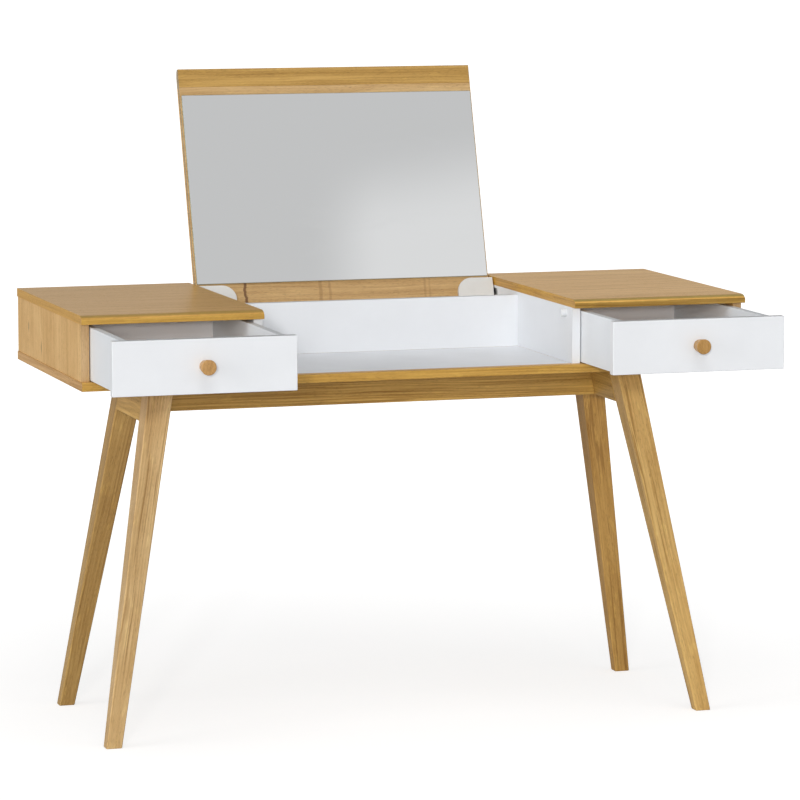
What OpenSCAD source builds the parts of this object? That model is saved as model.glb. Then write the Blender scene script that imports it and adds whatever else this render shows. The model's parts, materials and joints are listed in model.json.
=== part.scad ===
// Dressing table with a flip-up mirror lid over a centre compartment, two drawers
// with round knobs, and a splayed frame of tapered legs.
// Sizes are millimetres. The front faces -Y, up is +Z and the floor is at z = 0.
// The lid stands open and both drawers are pulled part-way out.

/* [Overall] */
// Width of the worktop
table_w = 1200; // [1000:10:1600]
// Depth of the worktop
table_d = 500; // [460:10:650]
// Height of the worktop above the floor
table_h = 750; // [600:10:900]
// Height of the case, from its underside to the worktop
case_h = 128; // [118:1:180]

/* [Boards] */
// Thickness of the case boards and of the lid
board_t = 15; // [13:1:19]
// How far back the rounding of the tops' and the lid's upper front edge reaches
nose_run = 17; // [10:0.5:18]
// How far that rounding falls
nose_fall = 9; // [6:0.5:10]
// Radius of its tighter lower part
nose_tip_r = 5; // [3:0.5:5.5]
// Radius of the small edges
small_r = 1.2; // [0.5:0.1:2]
// How far the side panels stand in from the ends of the worktop
side_inset = 1.5; // [0:0.5:5]
// How far the rear panels and dividers stand in from the rear edge
rear_inset = 2; // [0:0.5:5]

/* [Centre compartment] */
// Clear width between the two dividers
bay_w = 562; // [420:2:640]
// Clear depth, from the worktop's front edge to the inner back
compartment_d = 302; // [220:1:330]
// Thickness of the white floor board, let in flush
floor_t = 3; // [2:0.5:5]
// Oak strip that shows in front of the white floor
floor_lip = 21; // [12:1:40]
// Gap between the inner back's top edge and the underside of the worktop
inner_back_gap = 5.5; // [5:0.5:20]
// Diameter of the round lid rests
rest_d = 15; // [10:1:24]
// How far a lid rest stands out from its divider
rest_len = 10; // [5:0.5:14]
// Distance of the lid rests behind the worktop's front edge
rest_y = 49; // [35:1:80]

/* [Lid] */
// Side gap between the lid and each fixed top
lid_gap = 2; // [1:0.25:4]
// Width of the solid strip along the lid's front edge
lipping_w = 34; // [20:1:44]
// Distance of the hinge line in front of the lid's rear edge
hinge_back = 62; // [50:1:70]
// Distance of the hinge line below the lid's underside
hinge_drop = 16.5; // [12:0.5:20]
// Angle that the open lid has turned through
open_angle = 107; // [92:1:115]
// Thickness of the mirror glass
mirror_t = 4; // [2:0.5:4.5]
// Border of the lid beside the mirror
mirror_border = 2.5; // [1:0.5:40]
// Distance of the mirror behind the lid's front edge
mirror_front = 50; // [48:1:90]
// Gap between the mirror and the hinge covers
mirror_rear_gap = 7; // [3:1:120]

/* [Hinges] */
// Width of a hinge cover
cover_w = 67.5; // [50:0.5:90]
// How far a hinge cover stands off the lid's underside
cover_t = 26.5; // [26:0.5:32]
// Reach of the cover from the hinge line towards the lid's front edge
cover_fore = 30; // [26:1:36]
// Reach of the cover from the hinge line towards the lid's rear edge
cover_aft = 26; // [26:1:30]
// Corner radius of the cover
cover_r = 26; // [4:1:26]
// Thickness of the cover's cap, which overhangs the body behind it
cap_t = 7; // [5:0.5:10]
// How far the cap overhangs the body
cap_overhang = 10; // [4:1:14]
// Width of the cap's sloped band
cover_slope_w = 17; // [5:1:22]
// Drop of that band at its outer edge
cover_slope = 2.5; // [0.5:0.5:5]
// Gap between a hinge cover and its divider
cover_gap = 2.5; // [2:0.5:8]
// Diameter of the hinge pin
pin_d = 6; // [4:0.5:8]
// Length of the pin inside the cover
pin_in_cover = 14; // [8:1:30]
// Length of the pin inside the divider, behind the plate
pin_in_divider = 8; // [4:1:9]
// Thickness of the hinge plate, let into the divider
plate_t = 2; // [1.5:0.5:3]
// Width of the hinge plate from front to rear
plate_w = 44; // [36:1:60]
// Height of the hinge plate
plate_h = 36; // [30:1:44]

/* [Drawers] */
// Thickness of a drawer front
front_t = 15; // [12:1:20]
// Gap below a closed drawer front
front_low_gap = 1.3; // [1:0.1:6]
// Gap above a closed drawer front
front_high_gap = 4.7; // [1:0.1:8]
// Strip of the divider's edge that a closed front leaves showing
front_reveal = 3.5; // [0:0.5:8]
// How far a front stops short of the worktop's end
front_end_gap = 0.5; // [0:0.5:4]
// Thickness of a drawer's sides and back
drawer_side_t = 12; // [9:1:15]
// Gap between a drawer's sides and the case
drawer_side_gap = 2; // [1:0.5:4]
// Gap between a closed drawer and the rear panel
drawer_rear_gap = 28; // [5:1:160]
// Gap between a drawer's sides and the worktop's underside
drawer_top_gap = 6; // [3:0.5:20]
// Thickness of a drawer's bottom board
drawer_bottom_t = 3; // [3:0.5:5]
// Height of the bottom board above the sides' lower edge
drawer_bottom_up = 8; // [6:1:15]
// Depth of the grooves that hold the bottom board
groove_depth = 6; // [3:0.5:7]
// Thickness of the glide strips under the drawers
glide_t = 1.5; // [1:0.1:3]
// Distance of the glide strips from the front and the rear of the case
glide_setback = 20; // [5:1:60]
// How far the left drawer is pulled out
left_open = 212; // [0:1:300]
// How far the right drawer is pulled out
right_open = 179; // [0:1:300]

/* [Knobs] */
// Diameter of a knob's face
knob_d = 26; // [18:1:34]
// Diameter of a knob where it meets the drawer front
knob_base_d = 21; // [14:1:30]
// How far a knob stands out
knob_h = 24; // [16:1:34]
// Radius of the rim of a knob's face
knob_rim_r = 2; // [0.5:0.5:4]
// Diameter of the knob screw
knob_screw_d = 4; // [3:0.5:5]
// Length of the screw inside the knob
knob_screw_in = 13; // [8:1:14]

/* [Legs] */
// Width of a leg at the floor
foot_w = 28; // [20:1:40]
// Depth of a leg at the floor
foot_d = 23; // [18:1:40]
// Width of a leg under the case
leg_top_w = 45; // [36:1:60]
// Depth of a leg under the case
leg_top_d = 48.5; // [36:0.5:52]
// Distance of a front foot's outer side from the end of the worktop
front_foot_end_inset = 44.5; // [30:0.5:140]
// Distance of a rear foot's outer side from the end of the worktop
rear_foot_end_inset = 52.5; // [30:0.5:140]
// Distance of a leg's top from the end of the worktop
leg_top_end_inset = 151; // [120:1:200]
// Distance of a front foot from the worktop's front edge
front_foot_edge_inset = 34; // [20:1:80]
// Distance of a rear foot from the worktop's rear edge
rear_foot_edge_inset = 54; // [20:1:80]
// Distance of a leg's top from the worktop's front or rear edge
leg_top_edge_inset = 130.5; // [90:0.5:132]
// Radius of a leg's long edges
leg_r = 2.5; // [1:0.5:6]
// Height of the side rails and of the long rail
rail_h = 75; // [50:1:100]
// Thickness of the long rail
long_rail_t = 25; // [18:1:32]
// How far the long rail's front face stands behind the middle of the table
long_rail_back = 20; // [0:1:24]
// Diameter of the bolts that hold the frame to the case
bolt_d = 6; // [5:1:8]
// Depth of a bolt in the bottom panel
bolt_in_case = 10.5; // [6:0.5:11]
// Distance of a bolt from the leg beside it, under the case
bolt_leg_gap = 26; // [12:1:30]

/* [Hidden] */
$fn = 64;

// Clearances
fit = 0.05;          // radius that a bore has over its pin or screw
seat = 0.3;          // gap under a moving piece that rests on a fixed one
bumper = 0.5;        // gap behind a closed drawer front
swing_gap = 5;       // room round the lid's rear end as it swings
pocket_gap = 0.1;    // gap over a board in its groove

// Levels
case_z = table_h - case_h;
inner_z = case_z + board_t;
under_z = table_h - board_t;

// Plan of the case, measured from the worktop's front edge
case_front = front_t + bumper;
case_rear = table_d - rear_inset;
bay_x = bay_w / 2;
divider_out_x = bay_x + board_t;
side_out_x = table_w / 2 - side_inset;
side_in_x = side_out_x - board_t;
rear_panel_y = case_rear - board_t;

// Lid, drawn closed and then turned open
lid_x = bay_x - lid_gap;
hinge_y = table_d - hinge_back;
hinge_z = under_z - hinge_drop;
swing_r = sqrt(pow(hinge_back, 2) + pow(hinge_drop + board_t, 2));
rear_rail_reach = rear_panel_y - hinge_y;
rear_rail_top = hinge_z - sqrt(max(0, pow(swing_r, 2) - pow(rear_rail_reach, 2))) - swing_gap;
mirror_x = lid_x - mirror_border;
mirror_rear = hinge_y - cover_fore - mirror_rear_gap;

// Hinges
cover_out_x = bay_x - cover_gap;
cover_in_x = cover_out_x - cover_w;
cover_z = under_z - cover_t;
cap_lap = 1;
plate_low = hinge_z - plate_h * 2 / 3;
plate_r = 4;
hinge_screw_d = 3.5;
hinge_screw_head_d = 7;
hinge_screw_len = 12;
hinge_screw_y = plate_w / 2 - 8;
hinge_screw_z = plate_low + 8;

// Drawers, drawn closed and then pulled out
front_in_x = bay_x + front_reveal;
front_out_x = table_w / 2 - front_end_gap;
front_mid_x = (front_in_x + front_out_x) / 2;
front_z0 = inner_z + front_low_gap;
front_z1 = under_z - front_high_gap;
front_mid_z = (front_z0 + front_z1) / 2;
box_in_x = divider_out_x + drawer_side_gap;
box_out_x = side_in_x - drawer_side_gap;
box_z0 = inner_z + glide_t + seat;
box_z1 = under_z - drawer_top_gap;
box_y1 = rear_panel_y - drawer_rear_gap;
bottom_z = box_z0 + drawer_bottom_up;
bottom_in_groove = groove_depth - 1;
glide_y0 = case_front + glide_setback;
glide_y1 = rear_panel_y - glide_setback;

// Knob screws
knob_head_d = 9;
knob_head_t = 2.5;

// Legs: a leg's section shrinks evenly from the case to the floor
front = -1;
rear = 1;
mid_depth = table_d / 2;
leg_top_out_x = table_w / 2 - leg_top_end_inset;
leg_top_out_y = mid_depth - leg_top_edge_inset;
rail_z = case_z - rail_h;
hull_skin = 0.01;
bolt_head_d = 2 * bolt_d;
bolt_head_t = bolt_d;
bolt_recess = 12;
bolt_recess_d = bolt_head_d + 2;
bolt_x = (rail_inner_x(rail_z) + rail_outer_x(case_z)) / 2;
bolt_y = leg_inner_y(case_z, front) - bolt_leg_gap;

// Radius of the nose's wide upper part, which the tighter arc at the tip runs into
nose_crown_r = (pow(nose_run - nose_tip_r, 2) + pow(nose_fall, 2) - pow(nose_tip_r, 2))
    / (2 * (nose_fall - nose_tip_r));

// The origin lies under the middle of the outline, with lid and drawers as drawn
rest_front = -max(left_open, right_open) - knob_h;
rest_rear = opened_y(nose_run, table_h - nose_crown_r) + nose_crown_r;
origin_y = (rest_front + rest_rear) / 2;

oak = "#c9a063";
oak_edge = "#c2974f";
oak_light = "#bf9f78";
oak_leg = "#bd9556";
white = "#eceef0";
white_plastic = "#e2e2e0";
mirror_grey = "#c4c6c8";
steel = "#a8abad";

// ---- Measures along the legs, at height z ----

// Value at height z of a size that changes evenly from the floor to the case
function along_leg(foot, top, z) = foot + (top - foot) * z / case_z;

// Distance of a front or rear foot's outer corner from the table's middle
function foot_out_x(end) =
    table_w / 2 - (end == front ? front_foot_end_inset : rear_foot_end_inset);
function foot_out_y(end) =
    mid_depth - (end == front ? front_foot_edge_inset : rear_foot_edge_inset);

// Distance of a leg's outer and inner sides from the table's middle
function leg_outer_x(z, end) = along_leg(foot_out_x(end), leg_top_out_x, z);
function leg_inner_x(z, end) = leg_outer_x(z, end) - along_leg(foot_w, leg_top_w, z);
function leg_outer_y(z, end) = along_leg(foot_out_y(end), leg_top_out_y, z);
function leg_inner_y(z, end) = leg_outer_y(z, end) - along_leg(foot_d, leg_top_d, z);

// A side rail's sides lie midway between those of its front and rear legs
function rail_outer_x(z) = (leg_outer_x(z, front) + leg_outer_x(z, rear)) / 2;
function rail_inner_x(z) = (leg_inner_x(z, front) + leg_inner_x(z, rear)) / 2;

// Place in depth that a point of the closed lid has once the lid is open
function opened_y(y, z) =
    hinge_y + (y - hinge_y) * cos(open_angle) + (z - hinge_z) * sin(open_angle);

// ---- Placing ----

// Moves the finished piece so that the origin lies under the outline's middle
module in_place() translate([0, -origin_y, 0]) children();

// Draws a right-hand piece, or its mirror image for the left (side = -1)
module sided(side) {
    if (side < 0) mirror([1, 0, 0]) children();
    else children();
}

// Turns a piece of the closed lid to the open position
module opened()
    translate([0, hinge_y, hinge_z]) rotate([-open_angle, 0, 0])
        translate([0, -hinge_y, -hinge_z]) children();

// Pulls a piece of a closed drawer out with its drawer
module pulled(side) translate([0, side < 0 ? -left_open : -right_open, 0]) children();

// ---- Basic solids ----

// Plain board between two opposite corners
module board(low, high) translate(low) cube(high - low);

// A flat shape drawn in depth and height, run along X from x0 to x1
module along_x(x0, x1)
    translate([x0, 0, 0]) rotate([90, 0, 90]) linear_extrude(height = x1 - x0) children();

// A flat shape drawn in width and height, run along Y from y0 to y1
module along_y(y0, y1)
    translate([0, y1, 0]) rotate([90, 0, 0]) linear_extrude(height = y1 - y0) children();

// A flat shape drawn in plan, run along Z from z0 to z1
module along_z(z0, z1)
    translate([0, 0, z0]) linear_extrude(height = z1 - z0) children();

// A rod along X from x0 to x1, with its axis at depth y and height z
module rod_x(x0, x1, y, z, d)
    translate([x0, y, z]) rotate([0, 90, 0]) cylinder(h = x1 - x0, d = d);

// A rod along Y from y0 to y1, with its axis at width x and height z
module rod_y(y0, y1, x, z, d)
    translate([x, y1, z]) rotate([90, 0, 0]) cylinder(h = y1 - y0, d = d);

// Sliver that is cut off a corner lying at [0, 0] to round it
module corner_sliver(r)
    difference() {
        square(r);
        translate([r, r]) circle(r);
    }

// Rectangle whose two corners on the low side of its first axis are rounded.
// r0 rounds the corner at b0 and r1 the one at b1.
module nosed_rectangle(a0, a1, b0, b1, r0, r1)
    difference() {
        translate([a0, b0]) square([a1 - a0, b1 - b0]);
        translate([a0, b0]) corner_sliver(r0);
        translate([a0, b1]) mirror([0, 1]) corner_sliver(r1);
    }

// Board along X with rounded front edges: r_low below and r_up above
module nosed_board(x0, x1, y0, y1, z0, z1, r_low, r_up)
    along_x(x0, x1) nosed_rectangle(y0, y1, z0, z1, r_low, r_up);

// Sliver that is cut off a corner lying at [0, 0] for the nose: nose_run along the first
// axis and nose_fall along the second, with the two arcs meeting on the line of their centres
module nose_sliver() {
    tip = [nose_tip_r, nose_fall];
    crown = [nose_run, nose_crown_r];
    outward = (tip - crown) / norm(tip - crown);
    difference() {
        square([nose_run, nose_fall]);
        translate(tip) circle(nose_tip_r);
        intersection() {
            translate(crown) circle(nose_crown_r);
            polygon([tip, tip - outward * tip[1] / outward[1], [nose_run, 0], [nose_run, nose_fall]]);
        }
    }
}

// Board of the worktop along X, with its upper front edge drawn into the long nose
module worktop_board(x0, x1, y0, y1)
    along_x(x0, x1) difference() {
        translate([y0, under_z]) square([y1 - y0, table_h - under_z]);
        translate([y0, under_z]) corner_sliver(small_r);
        translate([y0, table_h]) mirror([0, 1]) nose_sliver();
    }

// Rectangle with four rounded corners
module rounded_rectangle(a0, a1, b0, b1, r) {
    translate([a0 + r, b0]) square([a1 - a0 - 2 * r, b1 - b0]);
    translate([a0, b0 + r]) square([a1 - a0, b1 - b0 - 2 * r]);
    for (a = [a0 + r, a1 - r], b = [b0 + r, b1 - r]) translate([a, b]) circle(r);
}

// ---- Case ----

// Full-width bottom board, with a shallow bed for the white floor and holes for the bolts
module bottom_panel() in_place() color(oak) difference() {
    nosed_board(-table_w / 2, table_w / 2, 0, table_d, case_z, inner_z, small_r, small_r);
    board([-bay_x, floor_lip, inner_z - floor_t], [bay_x, compartment_d, inner_z + 1]);
    at_bolts() cylinder(h = bolt_in_case + fit, d = bolt_d + 2 * fit);
}

// White floor board of the centre compartment
module compartment_floor() in_place() color(white)
    board([-bay_x, floor_lip, inner_z - floor_t], [bay_x, compartment_d, inner_z]);

// White board that closes the compartment at the rear
module compartment_back() in_place() color(white)
    board([-bay_x, compartment_d, inner_z],
          [bay_x, compartment_d + board_t, under_z - inner_back_gap]);

module side_panel(side) in_place() color(oak) sided(side)
    board([side_in_x, case_front, inner_z], [side_out_x, table_d, under_z]);

// White divider, with a pocket for the hinge plate and bores for its pin and screws
module divider(side) in_place() color(white) sided(side) difference() {
    board([bay_x, case_front, inner_z], [divider_out_x, case_rear, under_z]);
    plate_outline(bay_x - 1, bay_x + plate_t);
    rod_x(bay_x, bay_x + plate_t + pin_in_divider + fit, hinge_y, hinge_z, pin_d + 2 * fit);
    at_hinge_screws() rod_x(0, hinge_screw_len + fit, 0, 0, hinge_screw_d + 2 * fit);
}

module top(side) in_place() color(oak) sided(side)
    worktop_board(bay_x, table_w / 2, 0, table_d);

// Rear board behind a drawer
module rear_panel(side) in_place() color(oak) sided(side)
    board([divider_out_x, rear_panel_y, inner_z], [side_in_x, case_rear, under_z]);

// Low rail behind the compartment, under the path of the lid's rear end
module rear_rail() in_place() color(oak)
    board([-bay_x, rear_panel_y, inner_z], [bay_x, case_rear, rear_rail_top]);

// Round cushion on the divider that the edge of the closed lid's mirror lies on
module lid_rest(side) in_place() color(white_plastic) sided(side)
    translate([bay_x, rest_y, under_z - mirror_t - seat - rest_d / 2]) rotate([0, -90, 0])
        rotate_extrude() intersection() {
            rounded_rectangle(-rest_d / 2, rest_d / 2, -rest_len, rest_len, small_r);
            square([rest_d, rest_len]);
        }

// Strips on the bottom board that the drawers slide on
module drawer_glides() in_place() color(white_plastic) for (side = [-1, 1]) sided(side)
    for (x = [box_in_x, box_out_x - drawer_side_t])
        board([x, glide_y0, inner_z], [x + drawer_side_t, glide_y1, inner_z + glide_t]);

// ---- Hinges ----

// Outline of the hinge plate between two widths
module plate_outline(x0, x1)
    along_x(x0, x1)
        rounded_rectangle(hinge_y - plate_w / 2, hinge_y + plate_w / 2,
                          plate_low, plate_low + plate_h, plate_r);

// Puts a piece at each of the two screws of a hinge plate, on the plate's face
module at_hinge_screws()
    for (y = [-hinge_screw_y, hinge_screw_y])
        translate([bay_x, hinge_y + y, hinge_screw_z]) children();

// Countersunk head of a hinge screw, opened up by a gap when it is a hole
module countersink(gap)
    rotate([0, 90, 0])
        cylinder(h = plate_t, d1 = hinge_screw_head_d + 2 * gap, d2 = hinge_screw_d + 2 * gap);

module hinge_plate(side) in_place() color(steel) sided(side) difference() {
    plate_outline(bay_x, bay_x + plate_t);
    rod_x(bay_x - 1, bay_x + plate_t + 1, hinge_y, hinge_z, pin_d + 2 * fit);
    at_hinge_screws() countersink(fit);
}

module hinge_pin(side) in_place() color(steel) sided(side)
    rod_x(cover_out_x - pin_in_cover, bay_x + plate_t + pin_in_divider, hinge_y, hinge_z, pin_d);

module hinge_screws() in_place() color(steel) for (side = [-1, 1]) sided(side)
    at_hinge_screws() {
        countersink(0);
        rod_x(plate_t, hinge_screw_len, 0, 0, hinge_screw_d);
    }

// White cover on the lid that turns on the hinge pin, with a blind bore for it.
// Its cap overhangs a smaller body that stands on the lid.
module hinge_cover(side) in_place() color(white_plastic) opened() sided(side) difference() {
    union() {
        intersection() {
            along_x(cover_in_x, cover_out_x) cap_side_shape();
            along_z(cover_z, cover_z + cap_t) cover_outline(0);
        }
        along_z(cover_z + cap_t - cap_lap, under_z) cover_outline(cap_overhang);
    }
    rod_x(cover_out_x - pin_in_cover - fit, cover_out_x + 1, hinge_y, hinge_z, pin_d + 2 * fit);
}

// Outline of a hinge cover in plan, drawn in by an inset on all but its outer side
module cover_outline(inset)
    nosed_rectangle(cover_in_x + inset, cover_out_x,
                    hinge_y - cover_fore + inset, hinge_y + cover_aft - inset,
                    max(cover_r - inset, small_r), max(cover_r - inset, small_r));

// Side view of the cap: the band nearest the lid's front edge slopes towards the lid
module cap_side_shape()
    polygon([
        [hinge_y - cover_fore, cover_z + cap_t],
        [hinge_y - cover_fore, cover_z + cover_slope],
        [hinge_y - cover_fore + cover_slope_w, cover_z],
        [hinge_y + cover_aft, cover_z],
        [hinge_y + cover_aft, cover_z + cap_t]
    ]);

// ---- Lid ----

module lid_panel() in_place() color(oak_light) opened()
    board([-lid_x, lipping_w, under_z], [lid_x, table_d, table_h]);

// Solid strip along the lid's front edge
module lid_lipping() in_place() color(oak_edge) opened()
    worktop_board(-lid_x, lid_x, 0, lipping_w);

module lid_mirror() in_place() color(mirror_grey) opened()
    board([-mirror_x, mirror_front, under_z - mirror_t],
          [mirror_x, mirror_rear, under_z]);

// ---- Drawers ----

// Front board with small round edges and a hole for the knob screw
module drawer_front(side) in_place() color(white) pulled(side) sided(side) difference() {
    intersection() {
        nosed_board(front_in_x, front_out_x, 0, front_t, front_z0, front_z1, small_r, small_r);
        along_z(front_z0, front_z1) mirror([1, -1])
            nosed_rectangle(0, front_t, front_in_x, front_out_x, small_r, small_r);
    }
    rod_y(-1, front_t + 1, front_mid_x, front_mid_z, knob_screw_d + 2 * fit);
}

// Bottom board's groove, cut from y0 to y1 and x0 to x1
module bottom_groove(x0, x1, y0, y1)
    board([x0, y0, bottom_z - pocket_gap], [x1, y1, bottom_z + drawer_bottom_t + pocket_gap]);

// Side board of a drawer between x0 and x1, grooved on the face at groove_x
module drawer_side(side, x0, groove_x) in_place() color(white) pulled(side) sided(side)
    difference() {
        board([x0, front_t, box_z0], [x0 + drawer_side_t, box_y1, box_z1]);
        bottom_groove(groove_x, groove_x + groove_depth, front_t - 1, box_y1 + 1);
    }

module drawer_inner_side(side)
    drawer_side(side, box_in_x, box_in_x + drawer_side_t - groove_depth);

module drawer_outer_side(side)
    drawer_side(side, box_out_x - drawer_side_t, box_out_x - drawer_side_t);

// Back board between the sides, standing on the bottom board
module drawer_back(side) in_place() color(white) pulled(side) sided(side)
    board([box_in_x + drawer_side_t, box_y1 - drawer_side_t, bottom_z + drawer_bottom_t],
          [box_out_x - drawer_side_t, box_y1, box_z1]);

module drawer_bottom(side) in_place() color(white) pulled(side) sided(side)
    board([box_in_x + drawer_side_t - bottom_in_groove, front_t, bottom_z],
          [box_out_x - drawer_side_t + bottom_in_groove, box_y1, bottom_z + drawer_bottom_t]);

// Round knob, a little narrower where it meets the front, bored for its screw
module knob(side) in_place() color(oak_leg) pulled(side) sided(side)
    translate([front_mid_x, 0, front_mid_z]) rotate([90, 0, 0]) difference() {
        rotate_extrude() {
            polygon([
                [0, 0],
                [knob_base_d / 2, 0],
                [knob_d / 2, knob_h - knob_rim_r],
                [knob_d / 2 - knob_rim_r, knob_h - knob_rim_r],
                [knob_d / 2 - knob_rim_r, knob_h],
                [0, knob_h]
            ]);
            intersection() {
                translate([knob_d / 2 - knob_rim_r, knob_h - knob_rim_r]) circle(knob_rim_r);
                translate([0, knob_h - knob_rim_r]) square([knob_d, knob_rim_r]);
            }
        }
        translate([0, 0, -1])
            cylinder(h = knob_screw_in + 1 + fit, d = knob_screw_d + 2 * fit);
    }

// Screw through the drawer front into the knob, with its head inside the drawer
module knob_screw(side) in_place() color(steel) pulled(side) sided(side) {
    rod_y(-knob_screw_in, front_t, front_mid_x, front_mid_z, knob_screw_d);
    rod_y(front_t, front_t + knob_head_t, front_mid_x, front_mid_z, knob_head_d);
}

// ---- Leg frame ----

// Thin slice of a right-hand leg at height z, its depth counted from the table's middle
module leg_slice(z, end)
    along_z(z, z + hull_skin)
        rounded_rectangle(leg_inner_x(z, end), leg_outer_x(z, end),
                          leg_inner_y(z, end), leg_outer_y(z, end), leg_r, $fn = 32);

// Tapered leg, splayed outward and to the front or rear, cut level at the floor
module leg(side, end) in_place() color(oak_leg) sided(side)
    translate([0, mid_depth, 0]) scale([1, end, 1]) hull() {
        leg_slice(0, end);
        leg_slice(case_z - hull_skin, end);
    }

// Rail between the two legs of one side, flush with their outer and inner faces
module side_rail(side) in_place() color(oak_leg) sided(side) difference() {
    intersection() {
        along_x(0, table_w)
            polygon([
                [mid_depth - leg_inner_y(rail_z, front), rail_z],
                [mid_depth + leg_inner_y(rail_z, rear), rail_z],
                [mid_depth + leg_inner_y(case_z, rear), case_z],
                [mid_depth - leg_inner_y(case_z, front), case_z]
            ]);
        along_y(0, table_d)
            polygon([
                [rail_inner_x(rail_z), rail_z],
                [rail_outer_x(rail_z), rail_z],
                [rail_outer_x(case_z), case_z],
                [rail_inner_x(case_z), case_z]
            ]);
    }
    at_side_bolts() translate([0, 0, -rail_h - 1]) {
        cylinder(h = rail_h + 2, d = bolt_d + 2 * seat);
        cylinder(h = bolt_recess + 1, d = bolt_recess_d);
    }
}

// Rail along the table between the side rails, its ends cut to their slope
module long_rail() in_place() color(oak_leg)
    along_y(mid_depth + long_rail_back, mid_depth + long_rail_back + long_rail_t)
        polygon([
            [-rail_inner_x(rail_z), rail_z],
            [rail_inner_x(rail_z), rail_z],
            [rail_inner_x(case_z), case_z],
            [-rail_inner_x(case_z), case_z]
        ]);

// Puts a piece at the top end of each right-hand bolt hole, level with the case's underside
module at_side_bolts()
    for (y = [-bolt_y, bolt_y]) translate([bolt_x, mid_depth + y, case_z]) children();

// The same on both sides of the table
module at_bolts() for (side = [-1, 1]) sided(side) at_side_bolts() children();

// Bolts up through the side rails into the bottom panel
module frame_bolts() in_place() color(steel)
    at_bolts() {
        translate([0, 0, bolt_recess - rail_h])
            cylinder(h = rail_h - bolt_recess + bolt_in_case, d = bolt_d);
        translate([0, 0, bolt_recess - rail_h - bolt_head_t])
            cylinder(h = bolt_head_t, d = bolt_head_d);
    }

// ---- Nodes ----

bottom_panel();
compartment_floor();
compartment_back();
side_panel(-1);  // side_panel_left
side_panel(1);  // side_panel_right
divider(-1);  // divider_left
divider(1);  // divider_right
top(-1);  // top_left
top(1);  // top_right
rear_panel(-1);  // rear_panel_left
rear_panel(1);  // rear_panel_right
rear_rail();
lid_rest(-1);  // lid_rest_left
lid_rest(1);  // lid_rest_right
hinge_plate(-1);  // hinge_plate_left
hinge_plate(1);  // hinge_plate_right
hinge_pin(-1);  // hinge_pin_left
hinge_pin(1);  // hinge_pin_right
hinge_screws();
drawer_glides();
lid_panel();
lid_lipping();
lid_mirror();
hinge_cover(-1);  // hinge_cover_left
hinge_cover(1);  // hinge_cover_right
drawer_front(-1);  // drawer_front_left
drawer_inner_side(-1);  // drawer_inner_side_left
drawer_outer_side(-1);  // drawer_outer_side_left
drawer_back(-1);  // drawer_back_left
drawer_bottom(-1);  // drawer_bottom_left
knob(-1);  // knob_left
knob_screw(-1);  // knob_screw_left
drawer_front(1);  // drawer_front_right
drawer_inner_side(1);  // drawer_inner_side_right
drawer_outer_side(1);  // drawer_outer_side_right
drawer_back(1);  // drawer_back_right
drawer_bottom(1);  // drawer_bottom_right
knob(1);  // knob_right
knob_screw(1);  // knob_screw_right
leg(-1, front);  // leg_front_left
leg(1, front);  // leg_front_right
leg(-1, rear);  // leg_rear_left
leg(1, rear);  // leg_rear_right
side_rail(-1);  // side_rail_left
side_rail(1);  // side_rail_right
long_rail();
frame_bolts();
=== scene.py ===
"""Flip top vanity table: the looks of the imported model, laid out as an add-on and run as a script."""

import json
import math

import bmesh
import bpy
import numpy as np
from bpy.props import FloatProperty, FloatVectorProperty, PointerProperty
from mathutils import Matrix, Vector


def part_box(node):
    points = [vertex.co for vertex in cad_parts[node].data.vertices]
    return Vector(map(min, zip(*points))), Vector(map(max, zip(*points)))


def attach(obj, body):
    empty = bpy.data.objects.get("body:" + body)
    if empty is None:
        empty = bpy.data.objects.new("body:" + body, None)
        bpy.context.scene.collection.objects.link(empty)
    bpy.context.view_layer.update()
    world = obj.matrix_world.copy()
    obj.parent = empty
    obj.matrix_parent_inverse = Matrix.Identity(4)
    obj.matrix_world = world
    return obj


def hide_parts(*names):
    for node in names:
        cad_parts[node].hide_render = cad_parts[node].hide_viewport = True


bl_info = {
    "name": "Flip Top Vanity Table",
    "version": (1, 0, 0),
    "blender": (4, 5, 0),
    "location": "View3D > Sidebar > Vanity Table",
    "description": "Boards, lid, mirror, drawers, knobs and leg frame of a flip top vanity table",
    "category": "Object",
}

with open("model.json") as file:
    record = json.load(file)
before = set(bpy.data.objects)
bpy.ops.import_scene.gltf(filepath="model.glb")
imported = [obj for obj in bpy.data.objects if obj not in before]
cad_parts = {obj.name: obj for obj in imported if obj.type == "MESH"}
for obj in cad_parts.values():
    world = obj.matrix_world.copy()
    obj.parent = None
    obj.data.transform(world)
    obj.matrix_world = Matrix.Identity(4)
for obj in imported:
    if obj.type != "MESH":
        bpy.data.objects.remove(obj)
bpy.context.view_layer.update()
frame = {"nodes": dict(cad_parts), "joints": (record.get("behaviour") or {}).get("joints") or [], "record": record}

# The body that each node is on, and its material slot
NODE_BODY = {name: body for body, names in frame["record"]["behaviour"]["bodies"].items() for name in names}
NODE_SLOT = {part["node"]: part["material_slot"] for part in frame["record"]["subparts"]}

SIDES = ("left", "right")
ENDS = ("front", "rear")


def srgb(red, green, blue):
    """Linear colour of a display colour given in steps of 0 to 255."""
    values = np.array([red, green, blue]) / 255
    return tuple(np.where(values <= 0.04045, values / 12.92, ((values + 0.055) / 1.055) ** 2.4))


def length(name, description, default):
    return FloatProperty(name=name, description=description, default=default, unit="LENGTH", min=0)


def rotation(name, description, degrees):
    return FloatProperty(name=name, description=description, default=math.radians(degrees), unit="ROTATION")


def strength(name, description, default, unit="NONE"):
    return FloatProperty(name=name, description=description, default=default, unit=unit, min=0)


def colour(name, description, default):
    return FloatVectorProperty(
        name=name, description=description, default=default, subtype="COLOR", size=3, min=0, max=1
    )


def grain_colour(tone, where, *steps):
    """The light or the dark tone of the wood in some place."""
    return colour(f"{where}, {tone}", f"{tone.capitalize()}er grain of the {where.lower()}", srgb(*steps))


# ---- Settings ----


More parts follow.
